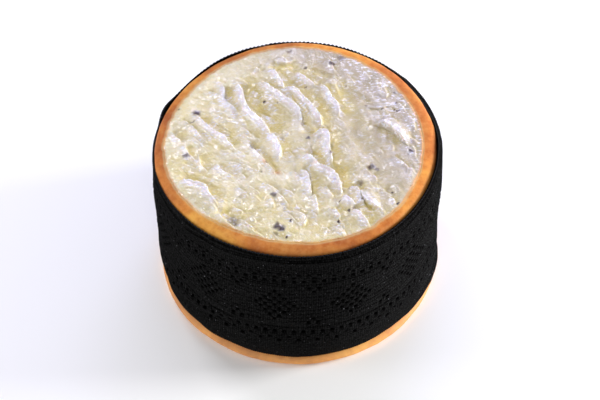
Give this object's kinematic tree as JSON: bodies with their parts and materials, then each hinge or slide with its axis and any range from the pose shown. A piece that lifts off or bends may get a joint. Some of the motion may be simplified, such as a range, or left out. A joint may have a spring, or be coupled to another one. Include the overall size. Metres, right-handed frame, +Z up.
{
  "type": "cheese wheel",
  "caption": "Small round soft cheese, opened for serving: torn creamy paste within an orange rind, its side bound with a black lace band that keeps it from slumping.",
  "frame": {"origin": "middle of the footprint, on the surface that the wheel stands on", "axes": "+Z up through the wheel, -Y towards the front, +X to the right seen from the front; the band's lap is at the back, +Y"},
  "size_m": [0.1008, 0.102, 0.0651],
  "materials": {
    "rind": "smear-ripened cheese rind, orange-tan, smooth and slightly greasy",
    "paste": "soft cream-yellow cheese paste, torn, moist and shiny",
    "lace": "black machine-made cotton lace trim, matt, with eyelets"
  },
  "bodies": {
    "root": {"cheese_wheel": "rind", "lace_band": "lace"}
  },
  "joints": []
}
